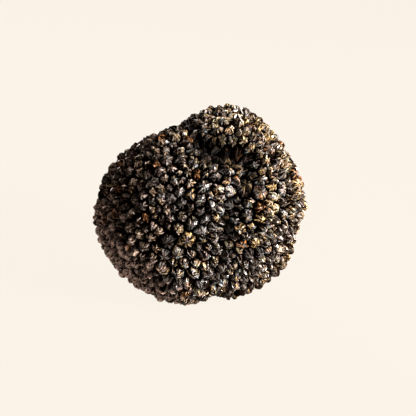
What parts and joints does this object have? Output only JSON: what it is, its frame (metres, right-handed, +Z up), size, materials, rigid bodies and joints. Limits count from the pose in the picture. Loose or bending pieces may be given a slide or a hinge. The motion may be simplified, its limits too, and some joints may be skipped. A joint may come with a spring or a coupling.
{
  "type": "black truffle",
  "caption": "Whole black truffle: a rounded, lobed fungus with a folded top, covered in low pyramidal warts, resting on a small flat spot.",
  "frame": {"origin": "middle of the base, on the surface that the truffle rests on", "axes": "+X to the right across the front, along the longest side; +Z up, the shortest side; the front with the fold faces -Y"},
  "size_m": [0.055, 0.0528, 0.0507],
  "materials": {
    "truffle_skin": "brown-black warty skin, dull in the creases, satin glints on the facets, tips worn to ochre"
  },
  "bodies": {
    "root": {"truffle": "truffle_skin"}
  },
  "joints": []
}
